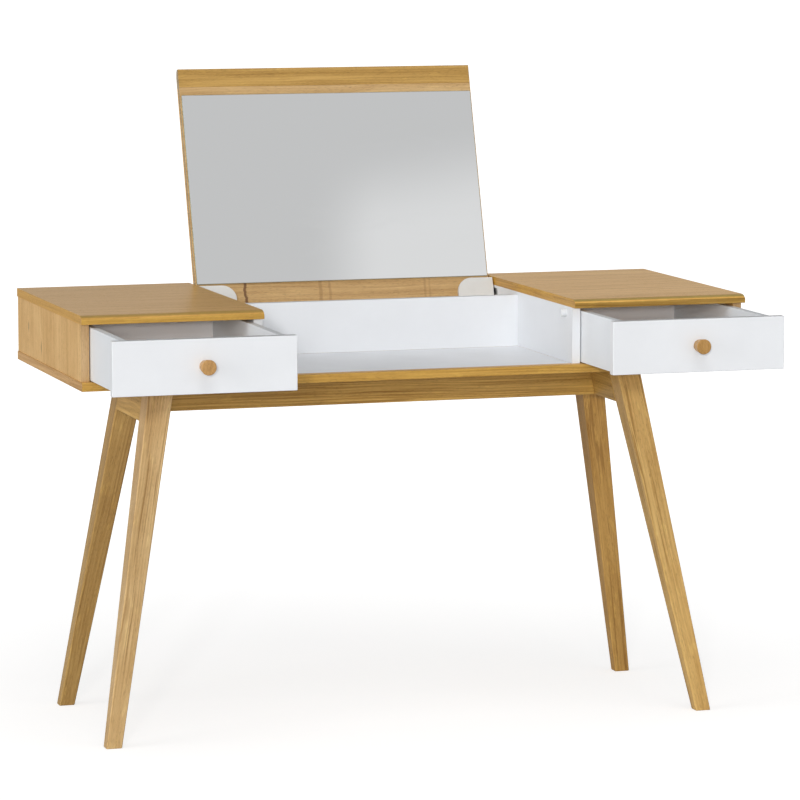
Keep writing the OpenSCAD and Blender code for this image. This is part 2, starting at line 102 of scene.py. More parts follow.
class VanitySizes(bpy.types.PropertyGroup):
    """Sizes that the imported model's boxes don't give."""

    board_ease: length("Board easing", "How far the boards' sharp edges are eased", 0.0004)
    thin_ease: length("Thin board easing", "How far the drawer bottoms' edges are eased", 0.0002)
    low_round: length("Small round", "Radius of the lower front edge of the tops and lid", 0.0012)
    nose_run: length("Nose run", "How far back the rounded upper front edges reach", 0.017)
    nose_fall: length("Nose fall", "How far that rounding falls", 0.009)
    nose_tip: length("Nose tip", "Radius of its tighter lower part", 0.005)
    front_ease: length("Front easing", "Radius of the drawer fronts' edges", 0.0012)
    lipping: length("Lipping", "Width of the solid strip along the lid's front edge", 0.034)
    mirror_front: length("Mirror setback", "From the lid's front edge to the mirror", 0.050)
    mirror_rear: length("Mirror end", "From the lid's front edge to the mirror's far edge", 0.401)
    mirror_corner: length("Mirror corner", "Radius of the mirror's corners", 0.0015)
    mirror_edge: length("Mirror edge", "How far the mirror's ground edge is rounded", 0.0009)
    mirror_glass: length("Mirror thickness", "Thickness of the mirror", 0.004)
    foot_width: length("Foot width", "Width of a leg at the floor", 0.028)
    foot_depth: length("Foot depth", "Depth of a leg at the floor", 0.023)
    leg_width: length("Leg width", "Width of a leg under the case", 0.045)
    leg_depth: length("Leg depth", "Depth of a leg under the case", 0.0485)
    leg_round: length("Leg round", "Radius of a leg's long edges", 0.0025)
    foot_ease: length("Foot easing", "How far a foot's lower edge is eased", 0.0015)
    side_rail_ease: length("Side rail easing", "Radius of the side rails' edges", 0.001)
    long_rail_ease: length("Long rail easing", "Radius of the long rail's edges", 0.0012)
    knob_base: length("Knob base", "Diameter of a knob where it meets the drawer front", 0.021)
    knob_rim: length("Knob rim", "Radius of a knob's front edge", 0.002)
    moulded_ease: length("Moulding easing", "Radius of the hinge covers' edges", 0.0008)


class VanityColours(bpy.types.PropertyGroup):
    """Colours of the finishes. Each wood has a light and a dark tone that its grain runs between."""

    top_light: grain_colour("light", "Tops and bottom board", 230, 181, 100)
    top_dark: grain_colour("dark", "Tops and bottom board", 191, 143, 65)
    edge_light: grain_colour("light", "Tops' and bottom board's edges", 202, 160, 80)
    edge_dark: grain_colour("dark", "Tops' and bottom board's edges", 158, 116, 44)
    side_light: grain_colour("light", "Side and rear boards", 240, 198, 134)
    side_dark: grain_colour("dark", "Side and rear boards", 204, 158, 92)
    lid_light: grain_colour("light", "Lid's underside", 214, 181, 129)
    lid_dark: grain_colour("dark", "Lid's underside", 180, 141, 89)
    end_light: grain_colour("light", "Side boards' edges and lid's ends", 206, 173, 129)
    end_dark: grain_colour("dark", "Side boards' edges and lid's ends", 173, 138, 91)
    strip_light: grain_colour("light", "Lid's lipping", 206, 166, 94)
    strip_dark: grain_colour("dark", "Lid's lipping", 160, 120, 55)
    rail_light: grain_colour("light", "Rails", 222, 181, 100)
    rail_dark: grain_colour("dark", "Rails", 158, 115, 48)
    leg_light: grain_colour("light", "Legs", 221, 184, 125)
    leg_dark: grain_colour("dark", "Legs", 169, 127, 70)
    knob_light: grain_colour("light", "Knobs", 206, 160, 96)
    knob_dark: grain_colour("dark", "Knobs", 172, 126, 66)
    stain: colour("Stain", "The dark stain on the lid's underside", srgb(104, 68, 44))
    board_white: colour("White board", "Coated white boards", srgb(233, 235, 238))
    front_white: colour("White front", "Painted drawer fronts", srgb(239, 241, 244))
    # lighter and warmer than the other whites: painted light for the inside of the drawers
    drawer_white_painted_light: colour("White drawer", "Backs and bottoms of the drawer boxes", srgb(244, 240, 238))
    drawer_side_white: colour("White drawer side", "Sides of the drawer boxes", srgb(238, 242, 246))
    plastic_white: colour("White plastic", "Hinge covers and drawer glides", srgb(224, 223, 219))
    rest_white: colour("Rests", "Rests on the dividers", srgb(229, 232, 235))
    silver: colour("Mirror", "Reflection of the mirror", (0.86, 0.87, 0.875))
    steel: colour("Steel", "Plates, pins, screws and bolts", (0.56, 0.57, 0.58))


class VanityStage(bpy.types.PropertyGroup):
    """Camera and lamps."""

    camera_place: FloatVectorProperty(
        name="Camera", description="Where the camera stands", default=(-2.1993, -6.9610, 1.4966),
        subtype="TRANSLATION",
    )
    camera_pitch: rotation("Camera pitch", "How far the camera looks down", 7.282)
    camera_turn: rotation("Camera turn", "How far the camera is turned to the right", 17.664)
    camera_lens: FloatProperty(
        name="Lens", description="Focal length in millimetres", default=187.48, min=20, unit="CAMERA"
    )
    key_power: strength("Front lamp", "Power of the small front lamp", 835, "POWER")
    low_power: strength("Low lamp", "Power of the wide low front lamp", 465, "POWER")
    soft_power: strength("High lamp", "Power of the wide high lamp", 140, "POWER")
    side_power: strength("Side lamp", "Power of the wide left lamp", 645, "POWER")
    right_power: strength("Right lamp", "Power of the wide right lamp", 14, "POWER")
    level_light: strength("Level light", "Even light from level directions", 0.055)
    upper_light: strength("Upper light", "What straight up adds to it", 0.40)


def sizes():
    return bpy.context.scene.vanity_sizes


def colours():
    return bpy.context.scene.vanity_colours


# ---- Surfaces ----

# Object axis of each piece axis: along the piece, then the two across it, in right-handed order
TURNED = {"X": (0, 1, 2), "Y": (1, 2, 0), "Z": (2, 0, 1)}
CORNER_HIGH = np.array([[0, 0], [1, 0], [1, 1], [0, 1]])
LEAST_RADIUS = 1e-5


def corner_arcs(shape, steps):
    """One corner of an outline: its normal's turn, its arc's centre in from both sides, and its radius.

    A plain corner is one arc, given by its radius, with its centre one radius in from both sides. The nose is
    given by its run, its fall and the radius of its tip. It is two arcs: one of radius R that leaves the
    upper side at the run, and the tip's, r, that meets the front at the fall. They touch where the line of
    their centres meets them, so R = ((run - r)^2 + fall^2 - r^2) / (2 (fall - r)), and the normal has turned
    by the arcsine of (run - r) / (R - r) there.
    """
    if np.isscalar(shape):
        return np.linspace(0, np.pi / 2, steps + 1), np.full((steps + 1, 2), shape), np.full(steps + 1, shape)
    run, fall, tip = shape
    crown = ((run - tip) ** 2 + fall**2 - tip**2) / (2 * (fall - tip))
    meet, half = np.arcsin((run - tip) / (crown - tip)), steps // 2
    on_tip = np.linspace(meet, np.pi / 2, steps - half + 1)[1:]
    turned = np.concatenate([np.linspace(0, meet, half + 1), on_tip])
    on_crown = np.arange(steps + 1) <= half
    return turned, np.where(on_crown[:, None], [run, crown], [tip, fall]), np.where(on_crown, crown, tip)


def carried_rectangle(along, low, high, corners, ease, steps=8):
    """A rectangle with round corners, carried in a straight line and eased at both ends.

    along is the first and last place on the line. low and high give the rectangle's corner points at both
    places, and corners the shape of each corner, for corner_arcs. Along the line, each corner goes straight
    from its first place to its last. Near an end the rectangle is drawn in by ease * (1 - sin t) at
    ease * (1 - cos t) from the end, with t from 0 to a quarter turn, and its arcs keep their centres. Returns
    the points and normals, stations by outline by (along, first across, second across).
    """
    along, low, high = np.array(along, float), np.array(low, float), np.array(high, float)
    t = np.linspace(0, np.pi / 2, steps // 2 + 1)
    place = np.concatenate([along[0] + ease * (1 - np.cos(t)), (along[1] - ease * (1 - np.cos(t)))[::-1]])
    inset = np.concatenate([ease * (1 - np.sin(t)), (ease * (1 - np.sin(t)))[::-1]])
    lean = np.concatenate([-np.cos(t), np.cos(t)[::-1]])
    share = ((place - along[0]) / (along[1] - along[0]))[:, None]
    low_at, high_at = (end[0] + (end[1] - end[0]) * share for end in (low, high))
    corner = np.where(CORNER_HIGH, high_at[:, None], low_at[:, None])
    arcs = (corner_arcs(shape, steps) for shape in corners)
    turned, centre, radius = (np.stack(part) for part in zip(*arcs))
    turn = np.radians([180, 270, 0, 90])[:, None] + turned
    ring = np.stack([np.cos(turn), np.sin(turn)], -1)
    centre = corner[:, :, None] + np.where(CORNER_HIGH, -1, 1)[:, None] * centre
    radius = np.maximum(radius[None] - inset[:, None, None], LEAST_RADIUS)
    across = (centre + radius[..., None] * ring).reshape(len(place), -1, 2)
    slope = np.where(CORNER_HIGH, high[1] - high[0], low[1] - low[0]) / (along[1] - along[0])
    fall = -(ring * slope[:, None]).sum(-1)
    flat = np.concatenate([fall[..., None], ring], -1).reshape(-1, 3)
    flat /= np.linalg.norm(flat, axis=1)[:, None]
    normals = flat[None] * np.sqrt(1 - lean**2)[:, None, None]
    normals[..., 0] += lean[:, None]
    normals /= np.linalg.norm(normals, axis=2)[..., None]
    stations = np.broadcast_to(place[:, None, None], across.shape[:2] + (1,))
    return np.concatenate([stations, across], -1), normals


def turned_profile(radius, height, count=64):
    """A profile turned about an axis: at angle a, the point lies radius * (cos a, sin a) from it, at height.

    Its normal is the profile's own, a quarter turn from the line between the neighbouring profile points.
    Returns points and normals, profile by angle by (along, first across, second across).
    """
    radius, height = np.array(radius, float), np.array(height, float)
    rise, run = np.gradient(height), np.gradient(radius)
    size = np.hypot(rise, run)
    angle = np.linspace(0, 2 * np.pi, count, endpoint=False)
    ring = np.stack([np.cos(angle), np.sin(angle)], -1)

    def around(along, across):
        level = np.broadcast_to(along[:, None, None], (len(along), count, 1))
        return np.concatenate([level, across[:, None, None] * ring], -1)

    return around(height, radius), around(-run / size, rise / size)


def rounded_corner(centre, radius, start, end, steps=8):
    """Points of an arc about a centre between two angles in degrees."""
    angle = np.radians(np.linspace(start, end, steps))
    return centre[0] + radius * np.cos(angle), centre[1] + radius * np.sin(angle)


# ---- Pieces ----

# How far the largest part of a normal falls short of 1 halfway round an eased edge
HALF_TURNED = 0.293


def new_piece(name, points, normals, axis, material, replaced, place=None):
    """Puts a closed grid of points into a mesh: quads between the rings, and a flat face at each end.

    Keeps each point's facing (how far its normal looks along X, Y and Z before the piece is turned to its
    place) and how far it lies on an eased edge, for the finishes.
    """
    rings, count = points.shape[:2]
    order = np.argsort(TURNED[axis])
    verts, normals = points.reshape(-1, 3)[:, order], normals.reshape(-1, 3)[:, order]
    facing = np.abs(normals)
    edge = np.clip((1 - facing.max(1)) / HALF_TURNED, 0, 1)
    if place is not None:
        turn = np.array(place.to_3x3())
        verts = verts @ turn.T + np.array(place.translation)
        normals = normals @ turn.T
    index = np.arange(rings * count).reshape(rings, count)
    after = np.roll(index, -1, 1)
    quads = np.stack([index[:-1], after[:-1], after[1:], index[1:]], -1).reshape(-1, 4)
    faces = quads.tolist() + [index[0][::-1].tolist(), index[-1].tolist()]
    mesh = bpy.data.meshes.new(name)
    mesh.from_pydata(verts.tolist(), [], faces)
    mesh.shade_smooth()
    mesh.normals_split_custom_set_from_vertices(normals.tolist())
    mesh.attributes.new("facing", "FLOAT_VECTOR", "POINT").data.foreach_set("vector", facing.ravel())
    mesh.attributes.new("edge", "FLOAT", "POINT").data.foreach_set("value", edge)
    mesh.validate()
    return finished(bpy.data.objects.new(name, mesh), material, replaced)


def finished(piece, material, replaced):
    """Links a new piece, gives it its finish and has it stand for a node, on its body."""
    body, slot = NODE_BODY[replaced], NODE_SLOT[replaced]
    bpy.context.scene.collection.objects.link(piece)
    piece.data.materials.clear()
    piece.data.materials.append(material)
    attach(piece, body)
    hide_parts(replaced)
    return piece


def board(name, replaced, axis, material, corners=None, ease=None):
    """A board in the node's box, with its four long edges shaped by corners and its ends eased."""
    low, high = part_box(replaced)
    ease = sizes().board_ease if ease is None else ease
    corners = (ease,) * 4 if corners is None else corners
    a, b, c = TURNED[axis]
    points, normals = carried_rectangle(
        (low[a], high[a]), [(low[b], low[c])] * 2, [(high[b], high[c])] * 2, corners, ease
    )
    return new_piece(name, points, normals, axis, material, replaced)


def worktop_corners():
    """The corners of a worktop board, from the lower front one round to the nose."""
    size = sizes()
    return size.low_round, size.board_ease, size.board_ease, (size.nose_run, size.nose_fall, size.nose_tip)


def eased_copy(name, replaced, material, width):
    """A merged copy of a node whose sharp edges are bevelled, for shapes with pockets, holes or grooves.

    Keeps each face's facing, how far its normal looks along X, Y and Z, for the finishes.
    """
    mesh = frame["nodes"][replaced].data.copy()
    mesh.name = name
    shape = bmesh.new()
    shape.from_mesh(mesh)
    bmesh.ops.remove_doubles(shape, verts=shape.verts, dist=1e-6)
    bmesh.ops.dissolve_limit(shape, angle_limit=math.radians(0.5), verts=shape.verts, edges=shape.edges)
    bmesh.ops.recalc_face_normals(shape, faces=shape.faces)
    shape.to_mesh(mesh)
    shape.free()
    if mesh.has_custom_normals:
        mesh.attributes.remove(mesh.attributes["custom_normal"])
    mesh.shade_smooth()
    mesh.set_sharp_from_angle(angle=math.radians(30))
    facing = np.empty(3 * len(mesh.polygons), np.float32)
    mesh.polygons.foreach_get("normal", facing)
    mesh.attributes.new("facing", "FLOAT_VECTOR", "FACE").data.foreach_set("vector", np.abs(facing))
    piece = finished(bpy.data.objects.new(name, mesh), material, replaced)
    bevel = piece.modifiers.new("Eased edges", "BEVEL")
    bevel.width, bevel.segments = width, 3
    bevel.limit_method, bevel.angle_limit = "ANGLE", math.radians(35)
    bevel.harden_normals = True
    return piece


def dressed(name, material):
    """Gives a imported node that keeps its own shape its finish."""
    piece = frame["nodes"][name]
    piece.data.materials.clear()
    piece.data.materials.append(material)
    return piece


# ---- Shader nodes ----


def node(tree, kind, inputs=None, **settings):
    """Adds a shader node. An input that is another node's output is linked, and any other is set."""
    made = tree.nodes.new(f"ShaderNode{kind}")
    for key, value in settings.items():
        setattr(made, key, value)
    for key, value in (inputs or {}).items():
        if isinstance(value, bpy.types.NodeSocket):
            tree.links.new(value, made.inputs[key])
        else:
            made.inputs[key].default_value = value
    return made


def maths(tree, operation, first, second=0.5, third=0.5):
    return node(tree, "Math", {0: first, 1: second, 2: third}, operation=operation).outputs[0]


def vectors(tree, operation, first, second=(0, 0, 0)):
    """Vector arithmetic, which gives a number for a length or a dot product."""
    made = node(tree, "VectorMath", {0: first, 1: second}, operation=operation)
    return made.outputs["Value" if operation in ("LENGTH", "DOT_PRODUCT") else "Vector"]


def combined(tree, x=0.0, y=0.0, z=0.0):
    return node(tree, "CombineXYZ", {0: x, 1: y, 2: z}).outputs[0]


def mixed(tree, factor, first, second):
    """Mixes two numbers by a factor."""
    return node(tree, "Mix", {0: factor, 2: first, 3: second}).outputs[0]


def blended(tree, factor, first, second, mode="MIX"):
    """Mixes two colours by a factor."""
    first, second = (c if isinstance(c, bpy.types.NodeSocket) else (*c, 1)[:4] for c in (first, second))
    inputs = {0: factor, 6: first, 7: second}
    return node(tree, "Mix", inputs, data_type="RGBA", blend_type=mode).outputs[2]


def marked(tree, base, mark, share, tint, mode="MIX"):
    """Lays a share of a mark over a colour."""
    return blended(tree, maths(tree, "MULTIPLY", mark, share), base, tint, mode)


def noise(tree, vector, scale, detail=2.0, rough=0.5, twist=0.0):
    """Noise with one scale, or one along each axis: the vector is stretched, then the noise is read."""
    stretched = vectors(tree, "MULTIPLY", vector, (scale,) * 3 if np.isscalar(scale) else scale)
    inputs = {"Vector": stretched, "Scale": 1.0, "Detail": detail, "Roughness": rough, "Distortion": twist}
    return node(tree, "TexNoise", inputs).outputs[0]


def span(tree, value, low, high, to_low=0.0, to_high=1.0, smooth=True):
    """Carries a value from one range to another, held at both ends."""
    kind = "SMOOTHSTEP" if smooth else "LINEAR"
    inputs = {0: value, 1: low, 2: high, 3: to_low, 4: to_high}
    return node(tree, "MapRange", inputs, interpolation_type=kind).outputs[0]


def attribute(tree, name, part=None):
    """A piece's own attribute, or one part of it."""
    made = node(tree, "Attribute", attribute_name=name)
    if part is None:
        return made.outputs["Fac"]
    return node(tree, "SeparateXYZ", {0: made.outputs["Vector"]}).outputs[part]


def reach(tree, place, centre, size):
    """How far a point lies from a centre, counted in a size along each axis."""
    away = vectors(tree, "SUBTRACT", place, centre)
    return vectors(tree, "LENGTH", vectors(tree, "MULTIPLY", away, tuple(1 / s for s in size)))


# ---- Finishes ----

GRAIN_TURN = {"X": (0, 0, 0), "Y": (0, 0, -math.pi / 2), "Z": (0, math.pi / 2, 0)}

# Noise scales of the wood's marks, in waves per metre: along the grain, then twice across it
SWAY, RING_WAVER = (2.2, 9, 9), (1.5, 30, 30)
BROAD_STREAKS, MIDDLE_STREAKS, FINE_STREAKS = (1.2, 26, 26), (2.6, 120, 120), (6, 520, 520)
RAYS, PORES = (34, 300, 120), (120, 1500, 1500)
HAIRS, HAIR_PATCHES = (2.5, 270, 270), (1.6, 45, 45)

RINGS_PER_METRE = 190
# The grain runs from its light to its dark tone over this much either side of its mean
TONE_REACH = 0.17
# A mark on one face of a board fades out over this range of depths
FACE_DEPTHS = (-0.011, -0.006)
# The facing over which an edge takes its own tone
EDGE_FACING = (0.6, 0.85)


def shades(tint, factor):
    """A colour times a factor, or times one factor for each of red, green and blue."""
    return tuple(float(c) for c in np.array(tint[:3]) * factor)


def wood_tones(kind, factor=1, deeper=1):
    """The light and dark tone of a wood, each times a factor or three, and the dark one times deeper too."""
    tint = colours()
    light, dark = getattr(tint, f"{kind}_light"), getattr(tint, f"{kind}_dark")
    return shades(light, factor), shades(dark, np.multiply(factor, deeper))


def start_material(name):
    """A new material: itself, its nodes, its shader and the object's coordinates."""
    material = bpy.data.materials.new(name)
    material.use_nodes = True
    tree = material.node_tree
    return material, tree, tree.nodes["Principled BSDF"], node(tree, "TexCoord").outputs["Object"]


def wired(material, base, rough, height=None, strong=0.0, deep=0.0):
    """Gives a material its colour and roughness, and from a height its bump, that strong and that deep."""
    tree = material.node_tree
    shader = tree.nodes["Principled BSDF"]
    tree.links.new(base, shader.inputs["Base Color"])
    tree.links.new(rough, shader.inputs["Roughness"])
    if height is not None:
        bump = node(tree, "Bump", {"Height": height, "Strength": strong, "Distance": deep})
        tree.links.new(bump.outputs[0], shader.inputs["Normal"])
    return material


def along_grain(tree, place, shift, grain):
    """The object's coordinates, moved and turned so that the grain runs along X."""
    turn = GRAIN_TURN[grain] if isinstance(grain, str) else grain
    inputs = {"Vector": place, "Location": shift, "Rotation": turn, "Scale": (1, 1, 1)}
    return node(tree, "Mapping", inputs).outputs[0]


def swayed(tree, place, vector, knots):
    """Bends the grain a little from side to side, and about each knot."""
    sway = noise(tree, vector, SWAY)
    for centre, size in knots:
        sway = maths(tree, "ADD", sway, span(tree, reach(tree, place, centre, size), 0, 3.0, 0.9, 0))
    sway = maths(tree, "MULTIPLY", maths(tree, "SUBTRACT", sway, 0.5), 0.020)
    return vectors(tree, "ADD", vector, combined(tree, y=sway, z=sway))


def growth_rings(tree, wood, pith):
    """Rings about a pith that lies some way off and leans along the wood. Each darkens slowly, then stops."""
    parts = node(tree, "SeparateXYZ", {0: wood}).outputs
    lean = maths(tree, "MULTIPLY", parts[0], 0.045)
    side = maths(tree, "ADD", maths(tree, "ADD", parts[1], lean), pith * 0.35)
    away = vectors(tree, "LENGTH", combined(tree, side, maths(tree, "ADD", parts[2], pith)))
    count = maths(tree, "MULTIPLY", away, RINGS_PER_METRE)
    ring = maths(tree, "FRACT", maths(tree, "ADD", count, noise(tree, wood, RING_WAVER, 3)))
    return maths(tree, "MULTIPLY", span(tree, ring, 0, 0.7), span(tree, ring, 0.82, 1.0, 1, 0))


def near_face(tree, place, point, outward):
    """1 near the face that passes through a point and looks outward, and 0 deeper in the board."""
    depth = vectors(tree, "DOT_PRODUCT", vectors(tree, "SUBTRACT", place, point), outward)
    return span(tree, depth, *FACE_DEPTHS)


def knotted(tree, place, base, ragged, knot, dark):
    """Darkens a knot (place, size) with a ragged rim."""
    gone = maths(tree, "MULTIPLY_ADD", maths(tree, "SUBTRACT", ragged, 0.5), 0.9, reach(tree, place, *knot))
    return blended(tree, span(tree, gone, 0.35, 1.1, 0.6, 0), base, shades(dark, 0.32))


def stained(tree, place, base, stain):
    """Lays on a stain (place, size, colour, strength, waver, outward).

    It is a soft mark whose sides waver that far along X, and doesn't reach through the wood.
    """
    centre, size, tint, strong, waver, outward = stain
    wave = maths(tree, "SUBTRACT", noise(tree, place, (12, 12, 70), 3, 0.6), 0.5)
    moved = vectors(tree, "ADD", place, combined(tree, maths(tree, "MULTIPLY", wave, waver)))
    ragged = maths(tree, "SUBTRACT", noise(tree, place, (300, 300, 90)), 0.5)
    gone = maths(tree, "MULTIPLY_ADD", ragged, 0.8, reach(tree, moved, centre, size))
    near = near_face(tree, place, centre, outward)
    return marked(tree, base, near, span(tree, gone, 0.5, 1.15, strong, 0), tint)


def worn_edges(tree, place, scale, low, high):
    """How far an eased edge is rubbed, in patches."""
    patches = span(tree, noise(tree, place, scale, 3), low, high)
    return maths(tree, "MULTIPLY", attribute(tree, "edge"), patches)


def oak(name, grain, tones, shift=(0, 0, 0), pith=0.35, streaks=(0.22, 0.36, 0.30), rings=0.06, contrast=1.0,
        blotch=0.0, cloud=(14, 42, 42), painted_nose_shade=0.0, hairs=0.3, bands=(), knots=(), stains=(), behind=None,
        ray=0.16, gloss=0.42, shine=0.5):
    """Oak, with its grain along an axis or turned by three angles, and a light and a dark tone.

    The grain is streaks of three widths, drawn out along the wood and swayed a little, over growth rings about
    a pith that lies some way off. blotch adds soft clouds, with cloud as their noise's scale. Hairs are long
    fine dark lines, pores short dark dashes, and rays pale flecks. bands is a list of (X, Y or Z facing,
    tones, grain) for edges of another tone, and behind is (place, outward, tones) for the face behind the one
    at that place. The nose setting lays painted shade, darker with a grey cast, on a nose's upper part, where
    the wood leaves the level.
    """
    material, tree, shader, place = start_material(name)
    light, dark = tones
    masks = [span(tree, attribute(tree, "facing", part), *EDGE_FACING) for part, _, _ in bands]
    vector = along_grain(tree, place, shift, grain)
    for mask, (_, _, edge_grain) in zip(masks, bands):
        if edge_grain is not None:
            inputs = {0: mask, 4: vector, 5: along_grain(tree, place, shift, edge_grain)}
            vector = node(tree, "Mix", inputs, data_type="VECTOR").outputs[1]
    wood = swayed(tree, place, vector, knots)
    middle, fine = noise(tree, wood, MIDDLE_STREAKS), noise(tree, wood, FINE_STREAKS)
    tone = maths(tree, "MULTIPLY", noise(tree, wood, BROAD_STREAKS, 1), streaks[0])
    marks = (middle, fine, growth_rings(tree, wood, pith), noise(tree, wood, cloud, 2, 0.6))
    for mark, share in zip(marks, (*streaks[1:], rings, blotch)):
        tone = maths(tree, "MULTIPLY_ADD", mark, share, tone)
    mean = 0.5 * (sum(streaks) + rings + blotch)
    tone = span(tree, tone, mean - TONE_REACH / contrast, mean + TONE_REACH / contrast, smooth=False)
    base = blended(tree, tone, light, dark)
    for mask, (_, edge_tones, _) in zip(masks, bands):
        base = blended(tree, mask, base, blended(tree, tone, *edge_tones))
    if behind:
        point, outward, far_tones = behind
        base = blended(tree, near_face(tree, place, point, outward), blended(tree, tone, *far_tones), base)
    # painted shade: the upper part of a nose, where its facing leaves straight up, is darkened with a grey cast
    if painted_nose_shade:
        level = attribute(tree, "facing", 2)
        nose = span(tree, level, 0.975, 0.998, painted_nose_shade, 0)
        base = marked(tree, base, span(tree, level, 0.80, 0.90), nose, shades(dark, (0.62, 0.80, 1.1)))
    # rays, hairs, pores, knots, stains and worn edges
    rays = span(tree, noise(tree, wood, RAYS, 1, 0.4), 0.6, 0.72)
    base = marked(tree, base, rays, ray, (1, 0.94, 0.78), "SOFT_LIGHT")
    hair = span(tree, noise(tree, wood, HAIRS, 1, 0.4), 0.58, 0.67)
    hair = maths(tree, "MULTIPLY", hair, span(tree, noise(tree, wood, HAIR_PATCHES, 1), 0.40, 0.60, 0.15, 1))
    base = marked(tree, base, hair, hairs, shades(dark, (0.66, 0.58, 0.46)))
    pores = span(tree, noise(tree, wood, PORES, 1, 0.4), 0.56, 0.68)
    pores = maths(tree, "MULTIPLY", pores, span(tree, middle, 0.35, 0.65, 0.35, 1.0))
    base = marked(tree, base, pores, 0.42, shades(dark, 0.35))
    for knot in knots:
        base = knotted(tree, place, base, fine, knot, dark)
    for stain in stains:
        base = stained(tree, place, base, stain)
    rubbed = worn_edges(tree, place, 45, 0.45, 0.65)
    base = marked(tree, base, rubbed, 0.18, tuple(min(1, 1.25 * c) for c in light))
    rough = maths(tree, "MULTIPLY_ADD", tone, 0.07, gloss - 0.03)
    rough = maths(tree, "MULTIPLY_ADD", pores, 0.12, rough)
    shader.inputs["Specular IOR Level"].default_value = shine
    height = maths(tree, "SUBTRACT", maths(tree, "MULTIPLY", fine, 0.25), pores)
    return wired(material, base, rough, height, 0.35, 0.00012)


def coated_board(name, tint, gloss=0.36, upper=0.75):
    """White coated board: a faint mottle, a fine orange-peel surface, and edges rubbed a little duller.

    upper darkens the faces that look up or down, such as the narrow upper edges.
    """
    material, tree, _, place = start_material(name)
    mottle = noise(tree, place, 7, 4, 0.6)
    base = blended(tree, span(tree, mottle, 0.3, 0.7), tint, shades(tint, 0.965))
    speck = span(tree, noise(tree, place, 420, 1, 0.3), 0.74, 0.8)
    base = marked(tree, base, speck, 0.08, (0.45, 0.44, 0.42))
    base = marked(tree, base, worn_edges(tree, place, 60, 0.5, 0.7), 0.12, (0.55, 0.54, 0.52))
    # darker on the faces that look up or down, by upper
    if upper < 1:
        base = blended(tree, span(tree, attribute(tree, "facing", 2), 0.6, 0.9), base, shades(tint, upper))
    peel = noise(tree, place, 650, 2, 0.55)
    rough = span(tree, mottle, 0.3, 0.7, gloss - 0.03, gloss + 0.05)
    return wired(material, base, rough, peel, 0.12, 0.00006)


def moulded_plastic(name, tint):
    """Satin moulded plastic with a fine spark-eroded texture and slightly shinier high spots."""
    material, tree, _, place = start_material(name)
    base = blended(tree, span(tree, noise(tree, place, 30, 3), 0.3, 0.7), tint, shades(tint, 0.95))
    grit = noise(tree, place, 1600)
    return wired(material, base, span(tree, grit, 0.3, 0.7, 0.36, 0.48), grit, 0.2, 0.00005)


def mirror_finish(name, tint):
    """Silvered glass: near-sharp reflection with faint wiping marks, and a greenish ground edge."""
    material, tree, shader, place = start_material(name)
    rim = span(tree, attribute(tree, "facing", 2), 0.9, 0.99, 1, 0)
    ground = maths(tree, "MAXIMUM", span(tree, attribute(tree, "edge"), 0.02, 0.5), rim)
    wiped = noise(tree, place, (5, 22, 22), 4, 0.6, 0.6)
    rough = maths(tree, "MULTIPLY_ADD", ground, 0.25, span(tree, wiped, 0.45, 0.75, 0.012, 0.05))
    metal = maths(tree, "SUBTRACT", 1.0, maths(tree, "MULTIPLY", ground, 0.6))
    tree.links.new(metal, shader.inputs["Metallic"])
    return wired(material, blended(tree, ground, tint, (0.50, 0.58, 0.55)), rough)


def plated_steel(name, tint):
    """Zinc-plated steel, brushed one way, with cloudy dulling."""
    material, tree, shader, place = start_material(name)
    brushed = noise(tree, place, (60, 2600, 2600))
    base = blended(tree, span(tree, noise(tree, place, 90, 3), 0.35, 0.65), tint, shades(tint, 0.78))
    shader.inputs["Metallic"].default_value = 1
    return wired(material, base, maths(tree, "MULTIPLY_ADD", brushed, 0.2, 0.24), brushed, 0.25, 0.00003)


# ---- Operators ----


